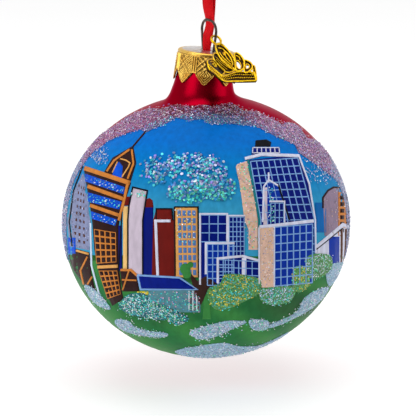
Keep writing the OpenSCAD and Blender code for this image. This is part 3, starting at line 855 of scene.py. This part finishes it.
snowShapes = [
    [(-35, -18.2), (-32, -19.5), (-27.6, -24.5), (-29, -25), (-33, -22.5)],
    [(-25.9, -28), (-22.2, -28.5), (-20.5, -30.2), (-16.5, -31.4), (-11.3, -32), (-11.9, -33.1),
     (-17.9, -32.8), (-23.6, -31.4), (-25.9, -29.7)],
    [(-4.8, -32), (-2.2, -30.5), (3.1, -29.1), (6.8, -28.4), (11.7, -28.8), (6.8, -31.1), (2.5, -33.1),
     (-1.7, -33.7)],
    [(12.3, -28.4), (15, -28), (18, -28.6), (17.4, -30.9), (13.6, -31)],
    [(18, -29.7), (25.7, -26.2), (28, -22.3), (31.1, -19.9), (35.4, -18.8), (34, -21.7), (29.7, -25.4),
     (22.5, -29.1), (18.3, -30.5)],
    [(34.8, -13), (39.4, -11.6), (42, -13), (39, -16), (35.4, -18.5)],
    [(-9, -37.4), (-2.2, -35.7), (5.1, -34.8), (9.1, -35.7), (14.3, -35.7), (18.3, -34.5), (24, -32),
     (21, -36), (9.7, -40), (-1.7, -40.4)],
]
facadeShapes = {
    "tower": [(-35.5, 14), (-38.5, 8), (-39.6, 0), (-38.8, -6.6), (-33.9, -7.8), (-33.4, 0), (-34, 7.5),
              (-34.8, 12)],
    "bandTop": [(-34.6, 11.9), (-23.8, 8.2), (-23.5, 9.8), (-34.6, 13.6)],
    "bandMiddle": [(-33.8, 6), (-25.2, 3.8), (-24.5, 5.6), (-34, 8.2)],
    "bandLow": [(-32.6, 1), (-26.2, -0.9), (-25.8, 0.5), (-33, 2.8)],
    "peachStrip": [(9, 16.6), (12, 17.6), (14.2, 5.3), (14.8, -8), (12.3, -8), (10.8, 4), (8.8, 15.9)],
    "frontSide": [(15.6, -18.4), (15.4, -1.6), (19.4, -1.2), (19.4, -18.6)],
    "pinkFace": [(34.4, -3.6), (34, 6.6), (36.8, 9.4), (38.2, 9.4), (38.4, -3.8)],
    "tanGrid": [(-8.6, -6), (-3, -6), (-3, 3.6), (-8.6, 3.6)],
    "wall": [(-16.6, -25.8), (-2, -25.8), (-2, -20), (-16.6, -20)],
    "whiteTop": [(-21.2, 9.8), (-17.2, 8.8), (-17.4, 7), (-21.6, 7.6)],
    "spire": [(18.2, 0), (20.2, 0.4), (19.6, 9.6), (18.2, 10)],
}
glitterLooks = {
    "fine": {"size": (0.13, 0.23), "tilt": 42, "lift": 0.38},
    "chunky": {"size": (0.24, 0.46), "tilt": 32, "lift": 0.42},
}


def isInside(outline, x, u):
    inside = False
    for (x0, u0), (x1, u1) in zip(outline, outline[1:] + outline[:1]):
        if (u0 > u) != (u1 > u) and x < x0 + (u - u0) * (x1 - x0) / (u1 - u0):
            inside = not inside
    return inside


def pour(batch, bm):
    mesh = bpy.data.meshes.new("flakes")
    batch.to_mesh(mesh)
    bm.from_mesh(mesh)
    bpy.data.meshes.remove(mesh)
    batch.clear()


def sprinkle(bm, outline, count, look, pick, ragged):
    # pick chooses the colour of the flake that lands at x, u
    batch = newCanvas()
    tint = batch.verts.layers.float_color["Tint"]
    xs, us = [p[0] for p in outline], [p[1] for p in outline]
    laid = 0
    while laid < count:
        x, u = random.uniform(min(xs) - 0.4, max(xs) + 0.4), random.uniform(min(us) - 0.4, max(us) + 0.4)
        if not isInside(outline, x + random.gauss(0, ragged), u + random.gauss(0, ragged)):
            continue
        point, outward, facing = onBall(x, u, random.uniform(look["lift"] - 0.1, look["lift"]))
        if random.random() > 0.3 / max(facing, 0.3):
            continue
        tilt = Matrix.Rotation(math.radians(abs(random.gauss(0, look["tilt"] / 2))), 4,
                               Vector((math.cos(laid), math.sin(laid), 0)))
        lying = outward.to_track_quat("Z", "Y").to_matrix().to_4x4()
        made = bmesh.ops.create_circle(batch, cap_ends=True, segments=6, radius=random.uniform(*look["size"]),
                                       matrix=Matrix.Translation(point) @ lying @ tilt)
        colour = linear(palette[pick(x, u)])
        # Each flake's colour is scaled brighter or darker at random: painted glints and painted shade that
        # differ from flake to flake
        paintedGlint = random.uniform(0.55, 1.4)
        for v in made["verts"]:
            v[tint] = (*(min(c * paintedGlint, 1) for c in colour[:3]), 1)
        laid += 1
        if laid % 300 == 0:
            pour(batch, bm)
            tint = batch.verts.layers.float_color.get("Tint") or batch.verts.layers.float_color.new("Tint")
    pour(batch, bm)
    batch.free()


def glitterPiece(name, bm, replaced=()):
    makePiece(name, bm, ballFrame, flakeFoil, "ball", replaced, smooth=False)


def bed(name, outlines, colour, lift, shade=None):
    bm = newCanvas()
    for outline in outlines:
        patch(bm, roundOff(outline), colour, lift)
    layOnBall(bm, 1.0, shade)
    paintPiece(name, bm, glitterBed)


def borderDepth(x, u):
    # 0 at the border's lower edge and 1 at its upper edge, near enough
    return (math.hypot(x, 1.02 * (u + 4)) - 34.5) / 5 if u > -4 else 0.3


def pickBorder(x, u):
    depth = borderDepth(x, u) + random.gauss(0, 0.2)
    if abs(x) > 36:
        return random.choice(["lilac", "ice", "skyLow", "lilac", "steel", "white", "pink"])
    if depth < 0.25:
        return random.choice(["lilac", "ice", "steel", "violet", "cyan", "lilac", "skyLow"])
    return random.choice(["pink", "mauve", "mauve", "pink", "lilac", "wine", "white", "violet"])


cloudColours = {
    "upper": ["cyan", "skyLow", "ice", "lilac", "violet", "turquoise", "skyMiddle", "steel"],
    "lower": ["mint", "turquoise", "cyan", "steel", "skyMiddle", "mint", "skyLow"],
}


def pickCloud(x, u):
    return random.choice(cloudColours["upper" if u + random.gauss(0, 1.5) > 10 else "lower"])


def borderShade(x, u):
    upper = mixColour("wine", "mauve", (abs(x + 1) - 9) / 10)
    side = max(min(max((abs(x) - 32) / 6, 0), 1), min(max((x - 16) / 14, 0), 0.45))
    upper = tuple(p + (q - p) * side for p, q in zip(upper, linear(palette["lilac"])))
    share = min(max(borderDepth(x, u) * 1.6 + 0.1, 0), 1)
    return tuple(p + (q - p) * share for p, q in zip(linear(palette["steel"]), upper))


def makeGlitter():
    border = borderTop + borderLow
    bed("borderGlue", [border], "mauve", 0.2, borderShade)
    bm = newCanvas()
    sprinkle(bm, border, 11000, glitterLooks["fine"], pickBorder, 0.35)
    glitterPiece("borderGlitter", bm, ("glitter_border",))
    bm = newCanvas()
    for outline in cloudShapes:
        sprinkle(bm, outline, 520, glitterLooks["chunky"], pickCloud, 0.9)
    for outline in smallClouds:
        sprinkle(bm, outline, 160, glitterLooks["fine"],
                 lambda x, u: random.choice(["white", "ice", "lilac", "violet"]), 0.5)
    glitterPiece("cloudGlitter", bm, ("glitter_clouds",))
    bm = newCanvas()
    bushColours = [["mint", "ice", "turquoise", "white", "leaf", "cyan"],
                   ["turquoise", "mint", "leaf", "cyan", "yellow", "yellow"],
                   ["ice", "turquoise", "lilac", "mint"], ["leaf", "yellow", "mint", "yellow"],
                   ["ice", "white", "mint", "leaf", "lilac"]]
    for outline, colours in zip(bushShapes, bushColours):
        spread = (max(p[0] for p in outline) - min(p[0] for p in outline)) * 56
        sprinkle(bm, outline, int(spread), glitterLooks["fine"], lambda x, u: random.choice(colours), 0.4)
    glitterPiece("bushGlitter", bm, ("glitter_bushes",))
    bed("bushGlue", [bushShapes[0]], "teal", 0.26)
    bed("brightBushGlue", bushShapes[1:], "leaf", 0.3)
    bed("snowGlue", snowShapes, "snowBlue", 0.24)
    bm = newCanvas()
    for outline in snowShapes:
        spread = (max(p[0] for p in outline) - min(p[0] for p in outline)) * 34
        sprinkle(bm, outline, int(spread), glitterLooks["fine"],
                 lambda x, u: random.choice(["white", "ice", "snowBlue", "white", "lilac", "mint"]), 0.5)
    glitterPiece("snowGlitter", bm, ("snow_drifts",))
    bm = newCanvas()
    facadeColours = {
        "tower": (160, ["lilac", "steel", "grey", "grey", "brown"]),
        "bandTop": (90, ["cyan", "ice", "glassBlue", "lilac"]),
        "bandMiddle": (80, ["cyan", "ice", "glassBlue", "mint"]),
        "bandLow": (40, ["cyan", "ice", "glassBlue"]),
        "peachStrip": (210, ["peach", "cream", "white", "mint", "pink"]),
        "frontSide": (200, ["peach", "pinkWhite", "white", "cream"]),
        "pinkFace": (80, ["dusk", "pinkWhite", "grey", "peach"]),
        "tanGrid": (60, ["white", "cyan", "yellow", "ice"]),
        "wall": (260, ["turquoise", "pink", "skyLow", "mint"]), "whiteTop": (30, ["mint", "white", "cyan"]),
        "spire": (50, ["turquoise", "mint", "ice"]),
    }
    for place, (count, colours) in facadeColours.items():
        sprinkle(bm, facadeShapes[place], count, glitterLooks["fine"], lambda x, u: random.choice(colours),
                 0.15)
    glitterPiece("cityGlitter", bm)


makeGlitter()
print("glitter laid")

# Cap

capShape = {"top": 11.6, "round": 0.7, "radius": 8.2, "tipRadius": 8.8, "valley": 5.8, "tip": 2.5,
            "points": 8,
            "hole": 1.6, "wall": 0.38, "relief": 0.3, "around": 480, "down": 96}


def ridge(distance, width):
    return math.exp(-(distance / width) ** 2)


def capRelief(across, height):
    # across is millimetres from a point's middle line; the pattern is crossed bars over nested diamonds
    edge = abs(across) - 3.25
    total = ridge(edge + 0.55, 0.17) + ridge(edge - 0.1, 0.17) + ridge(height - 10.7, 0.2)
    if height > 6.4:
        lean = (height - 8.6) * 1.05
        inside = 1 if abs(across) < 2.4 else 0
        for bar in (-1.5, 0, 1.5):
            rising, falling = ridge(across - lean + bar, 0.22), ridge(across + lean + bar, 0.22)
            total += inside * (rising * 0.9 + falling * 0.7)
    else:
        diamond = abs(across) * 1.05 + abs(height - 5.4)
        for ring in (0.5, 1.25, 2.0):
            total += ridge(diamond - ring, 0.2)
    return min(total, 1.2)


def makeCap():
    cap = capShape
    bm = bmesh.new()
    bmesh.ops.create_grid(bm, x_segments=cap["around"], y_segments=cap["down"], size=0.5)
    tint = bm.verts.layers.float_color.new("Tint")
    pitch = 2 * pi / cap["points"]
    for v in bm.verts:
        around, down = 2 * pi * (v.co.x + 0.5), v.co.y + 0.5
        offset = (around + pitch / 2) % pitch - pitch / 2
        share = abs(offset) / (pitch / 2)
        # from a rounded tip up to the valley
        climb = min(1, max(0, math.sqrt(share ** 2 + 0.006) - 0.07) / 0.8)
        foot = cap["tip"] + (cap["valley"] - cap["tip"]) * climb
        colour = (1, 1, 1, 1)
        if down < 0.2:
            radius = cap["hole"] + (cap["radius"] - cap["round"] - cap["hole"]) * down / 0.2
            height = cap["top"] + 0.05 * ridge(radius - 6.9, 0.3) - 0.04 * ridge(radius - 3.2, 1.2)
            # The top disc is tinted pale silver-white with a mottle: a painted reflection of the lights on
            # the gold sheet
            if radius < 6.9:
                x, y = radius * math.cos(around), radius * math.sin(around)
                reflectionMottle = 0.8 + 0.2 * math.sin(1.1 * x + 1.7) * math.sin(2 * y)
                colour = (1.05 * reflectionMottle, 1.55 * reflectionMottle, 7.5 * reflectionMottle, 1)
        elif down < 0.3:
            bend = (down - 0.2) / 0.1 * pi / 2
            radius = cap["radius"] - cap["round"] * (1 - math.sin(bend))
            height = cap["top"] - cap["round"] * (1 - math.cos(bend))
        else:
            t = (down - 0.3) / 0.7
            start = cap["top"] - cap["round"]
            height = start + (foot - start) * t
            slope = (cap["tipRadius"] - cap["radius"]) / (start - cap["tip"])
            radius = cap["radius"] + slope * (start - height)
            relief = capRelief(offset * 8.6, height) * min(1, t * 12) * min(1, (height - foot + 0.15) * 2)
            relief = max(relief, 0.9 * ridge(height - foot - 0.25, 0.2))
            radius += cap["relief"] * (relief - 0.6)
            # The sunk parts of the stamped pattern are painted darker and browner than the raised parts:
            # painted shade in the recesses
            deep = 0.45 + 0.55 * min(1, relief * 1.3)
            colour = (deep, deep * (0.85 + 0.15 * deep), deep * (0.7 + 0.3 * deep), 1)
        v[tint] = colour
        v.co = (radius * math.cos(around), radius * math.sin(around), height)
    bmesh.ops.remove_doubles(bm, verts=bm.verts, dist=0.0004)
    bmesh.ops.recalc_face_normals(bm, faces=bm.faces)
    if max(bm.faces, key=lambda f: f.calc_center_median().x).normal.x < 0:
        bmesh.ops.reverse_faces(bm, faces=bm.faces)
    piece = makePiece("stampedCap", bm, neckFrame, capGold, "cap", ("cap",))
    wall = piece.modifiers.new("sheet", "SOLIDIFY")
    wall.thickness = cap["wall"] * 0.001
    wall.offset = -1
    drills = bmesh.new()
    for side in (-1, 1):
        bmesh.ops.create_cone(drills, cap_ends=True, segments=24, radius1=wire["hole"], radius2=wire["hole"],
                              depth=3,
                              matrix=shift(wire["across"], 0, 0) @ turn(-wire["turn"], "Z")
                              @ shift(side * wire["halfGap"], 0, cap["top"]))
    bmesh.ops.transform(drills, matrix=neckFrame, verts=drills.verts)
    drillMesh = bpy.data.meshes.new("drills")
    drills.to_mesh(drillMesh)
    drills.free()
    drill = bpy.data.objects.new("drills", drillMesh)
    bpy.context.scene.collection.objects.link(drill)
    cut = piece.modifiers.new("wireHoles", "BOOLEAN")
    cut.operation = "DIFFERENCE"
    cut.solver = "EXACT"
    cut.object = drill
    applyModifiers(piece)
    bpy.data.objects.remove(drill)


makeCap()
print("cap made")

# Charm: x across, y up to the eyelet at 0, and z out of its face

charm = {"swivel": 15, "nod": 32, "roll": 22, "drop": 0.4, "bend": 14.5, "wall": 0.45,
         "beadRise": 0.3}
eyeletAcross = wire["halfGap"] + wire["eyelet"] * math.tan(math.radians(wire["legLean"]))
charmFrame = (loopFrame @ shift(eyeletAcross, 0, wire["eyelet"]) @ turn(-wire["lean"], "X")
              @ turn(wire["turn"], "Z")
              @ turn(-neck["lean"] - wire["tilt"], "Y") @ turn(charm["swivel"], "Z") @ turn(charm["nod"], "X")
              @ turn(charm["roll"], "Y") @ shift(0, -charm["drop"], 0))
sight = charmFrame.inverted() @ plainFrame
charmEye = sight @ eyePlace
charmLoops = {
    "leaf": [(2.9, 51.4), (4.4, 51.3), (6.2, 49.6), (7.7, 47.6), (8.5, 45.5), (8.2, 43.7), (6.2, 45),
             (4.4, 46.6), (3.3, 48.5), (2.7, 50.3)],
    "fold": [(2.1, 48.5), (2.9, 48.6), (4.4, 47), (6.2, 45.4), (7.9, 44.3), (7.9, 43.6), (6.2, 43.1),
             (4.4, 44.1), (2.9, 45.9), (2, 47.2)],
    "curl": [(0.2, 46.5), (0.7, 46.9), (1.8, 46.9), (2.9, 45.9), (4.2, 44.6), (5.3, 43.5), (4.4, 42.4),
             (2.9, 43.5), (1.5, 44.6), (0.4, 45.4)],
    "scroll": [(8.2, 48.5), (9.4, 48.5), (10.7, 47), (11.1, 45.5), (10.7, 44.1), (9.4, 43.5), (8.5, 43.9),
               (8.4, 46)],
    "smallScroll": [(11, 46.3), (12, 46.5), (13.1, 45.7), (13.4, 44.6), (12.5, 43.5), (11.2, 43)],
    "spike": [(13.5, 45), (14.1, 44.9), (14.5, 43), (14.7, 40.9), (14, 42.2), (13.6, 43.7)],
}
charmHoles = {
    "leaf": [(4.9, 48.9), (5.4, 49), (5.6, 48.5), (5.3, 48.2), (4.9, 48.4)],
    "curl": [(1.9, 45.9), (2.5, 45.6), (2.9, 45), (2.8, 44.8), (2.3, 45), (1.9, 45.5)],
    "scroll": [(8.75, 46.5), (9.4, 46.5), (10.1, 45.4), (10, 44.3), (9.4, 44.2), (8.75, 45.2)],
    "smallScroll": [(11.6, 45.5), (12.4, 45.4), (12.5, 44.6), (11.6, 44.2)],
}
# Nested lines inside the leaf, the fold, the scroll and the curl, with their radius
charmLines = [
    ([(3.3, 50.2), (4.6, 49.9), (6.2, 48.4), (7.3, 46.6), (7.7, 45.2)], 0.2),
    ([(3.7, 48.9), (4.8, 47.4), (6.3, 46), (7.6, 45)], 0.2),
    ([(2.6, 47.6), (4.4, 45.9), (6.2, 44.6), (7.6, 44)], 0.16),
    ([(2.8, 46.9), (4.5, 45.1), (6, 43.9)], 0.16),
    ([(8.7, 48), (9.6, 47.4), (9.8, 46.6)], 0.18),
    ([(0.9, 46.2), (1.9, 46.3), (3, 45.2)], 0.18),
]
bandLow = [(0.3, 45.5), (0.8, 44.2), (2.7, 42.6), (5, 40.7), (8, 40.6), (11, 40.6), (14.5, 40.7)]
bandTop = [(1.5, 44.6), (2.2, 43.9), (3.2, 43.1), (4.9, 42), (8.8, 43.2), (11.5, 43.1), (14, 43.1)]


def onCharm(x, u, rise):
    # x and u are as on the picture; the eye's line meets the casting, which is bent round an upright axis
    way = (sight @ (x * Vector((1, 0, 0)) + u * sightUp) - charmEye).normalized()
    start = Vector((charmEye.x, charmEye.z - charm["bend"]))
    run = Vector((way.x, way.z))
    a, b, c = run.dot(run), start.dot(run), start.dot(start) - charm["bend"] ** 2
    hit = charmEye + way * (math.sqrt(max(b * b - a * c, 0)) - b) / a
    return hit + rise * Vector((-hit.x / charm["bend"], 0, 1 - hit.z / charm["bend"]))


def oval(cx, cy, w, h, lean, count=24):
    c, s = math.cos(math.radians(lean)), math.sin(math.radians(lean))
    around = [(w * math.cos(2 * pi * k / count), h * math.sin(2 * pi * k / count)) for k in range(count)]
    return [(cx + x * c - y * s, cy + x * s + y * c) for x, y in around]


def rope(points, radius, rise=0.2, closed=True):
    return [onCharm(x, u, rise) for x, u in points], radius, closed


def addBeads(bm, points, radius):
    for x, u in points:
        bmesh.ops.create_icosphere(bm, subdivisions=1, radius=radius,
                                   matrix=Matrix.Translation(onCharm(x, u, charm["beadRise"])))


def spaced(line, gap):
    # Points a set gap apart along a line
    out, left = [], 0
    for a, b in zip(line, line[1:]):
        a, b = Vector(a), Vector(b)
        length = (b - a).length
        while left < length:
            out.append(tuple(a.lerp(b, left / length)))
            left += gap
        left -= length
    return out


def platePiece(bm, outer, inner=None):
    loops = []
    for outline in [outer] + ([inner] if inner else []):
        verts = [bm.verts.new((x, u, 0)) for x, u in outline]
        loops.append([bm.edges.new((verts[i - 1], verts[i])) for i in range(len(verts))])
    bmesh.ops.triangle_fill(bm, edges=[e for loop in loops for e in loop], use_beauty=True,
                            use_dissolve=False)


def between(first, second, share):
    return [tuple(Vector(a).lerp(Vector(b), share)) for a, b in zip(first, second)]


def makeCharm():
    outlines = {name: roundOff(points) for name, points in charmLoops.items()}
    holes = {name: roundOff(points, 3) for name, points in charmHoles.items()}
    low, top = roundOff(bandLow, 4, False), roundOff(bandTop, 4, False)
    thick = {"leaf": 0.27, "fold": 0.22, "curl": 0.24, "scroll": 0.3, "smallScroll": 0.25, "spike": 0.18}
    ropes = [rope(outlines[name], radius) for name, radius in thick.items()]
    ropes += [rope(holes[name], 0.16, 0.1) for name in holes]
    ropes += [rope(low, 0.28, 0.2, False), rope(top, 0.24, 0.2, False),
              rope([low[0], top[0]], 0.28, 0.2, False),
              rope([low[-1], top[-1]], 0.26, 0.2, False)]
    ropes += [rope(roundOff(points, 4, False), radius, 0.2, False) for points, radius in charmLines]
    ropes += [rope([(12.3, 43), (13.1, 43.5), (13.4, 42.6)], 0.16, 0.2, False),
              rope(oval(6.3, 47.6, 1.9, 0.5, -55), 0.18, 0.2)]
    beads = bmesh.new()
    addBeads(beads, spaced(between(outlines["leaf"][2:20], [(5.8, 47.6)] * 18, 0.14), 0.5), 0.2)
    addBeads(beads, spaced(between(low, top, 0.34), 0.55), 0.24)
    addBeads(beads, spaced(between(low, top, 0.68), 0.55), 0.24)
    plate = bmesh.new()
    for name, outline in outlines.items():
        platePiece(plate, outline, holes.get(name))
    platePiece(plate, low + top[::-1])
    for v in plate.verts:
        v.co = onCharm(v.co.x, v.co.y, 0)
    plate.normal_update()
    bmesh.ops.reverse_faces(plate, faces=[f for f in plate.faces if f.normal.z < 0])
    gold = bmesh.new()
    ropeMesh(gold, ropes, 1)
    pour(beads, gold)
    beads.free()
    ropeMesh(gold, [rope(oval(2.95, 52.6, 1.5, 1.05, -38, 36), 0.35, 0)], 3)
    for face in gold.faces:
        face.smooth = True
    makePiece("tiaraCharm", gold, charmFrame, charmGold, "charm", ("charm",))
    back = makePiece("tiaraBackplate", plate, charmFrame, charmRecess, "charm", smooth=False)
    cast = back.modifiers.new("cast", "SOLIDIFY")
    cast.thickness = charm["wall"] * 0.001
    cast.offset = -1
    applyModifiers(back)


makeCharm()
print("charm made")

# Floor and light

studio = {"floor": -0.1494, "front": -0.08, "back": 6, "half": 6, "ahead": 0.25, "behind": 0.75}


def makeFloor():
    low, half = studio["floor"], studio["half"]
    bm = bmesh.new()
    front, back = studio["front"], studio["back"]
    corners = ((-half, front), (half, front), (half, back), (-half, back))
    bm.faces.new([bm.verts.new((x, y, low)) for x, y in corners])
    mesh = bpy.data.meshes.new("studioFloor")
    bm.to_mesh(mesh)
    bm.free()
    floor = bpy.data.objects.new("studioFloor", mesh)
    bpy.context.scene.collection.objects.link(floor)
    mesh.materials.append(makeFloorPaper())


def addLight(name, place, size, power):
    data = bpy.data.lights.new(name, "AREA")
    data.shape = "RECTANGLE"
    data.size, data.size_y = size
    data.energy = power
    lamp = bpy.data.objects.new(name, data)
    lamp.location = place
    lamp.rotation_euler = (Vector((0, 0, -0.1)) - Vector(place)).to_track_quat("-Z", "Y").to_euler()
    bpy.context.scene.collection.objects.link(lamp)


def lightStudio():
    world = bpy.data.worlds.new("studio")
    bpy.context.scene.world = world
    world.use_nodes = True
    tree = world.node_tree
    back = tree.nodes["Background"]
    back.inputs["Color"].default_value = (1, 1, 1, 1)
    way = tree.nodes.new("ShaderNodeTexCoord").outputs["Generated"]
    split = tree.nodes.new("ShaderNodeSeparateXYZ")
    tree.links.new(way, split.inputs["Vector"])
    # dim in front of the ball, bright behind it
    spread = tree.nodes.new("ShaderNodeMapRange")
    spread.interpolation_type = "SMOOTHSTEP"
    spread.inputs["From Min"].default_value = -0.75
    spread.inputs["From Max"].default_value = 0.3
    spread.inputs["To Min"].default_value = studio["ahead"]
    spread.inputs["To Max"].default_value = studio["behind"]
    tree.links.new(split.outputs["Y"], spread.inputs["Value"])
    rays = tree.nodes.new("ShaderNodeLightPath")
    pickRay = tree.nodes.new("ShaderNodeMix")
    tree.links.new(rays.outputs["Is Camera Ray"], pickRay.inputs["Factor"])
    tree.links.new(spread.outputs["Result"], pickRay.inputs["A"])
    pickRay.inputs["B"].default_value = 1.0
    tree.links.new(pickRay.outputs["Result"], back.inputs["Strength"])
    addLight("leftSoftbox", (-0.67, -0.6, -0.1), (0.62, 1.2), 5.6)
    addLight("rightSoftbox", (0.85, -0.3, -0.1), (0.85, 1.2), 3.7)
    addLight("topSoftbox", (0, -0.1, 0.8), (0.9, 0.9), 4.5)


makeFloor()
lightStudio()
print("floor and lights set")
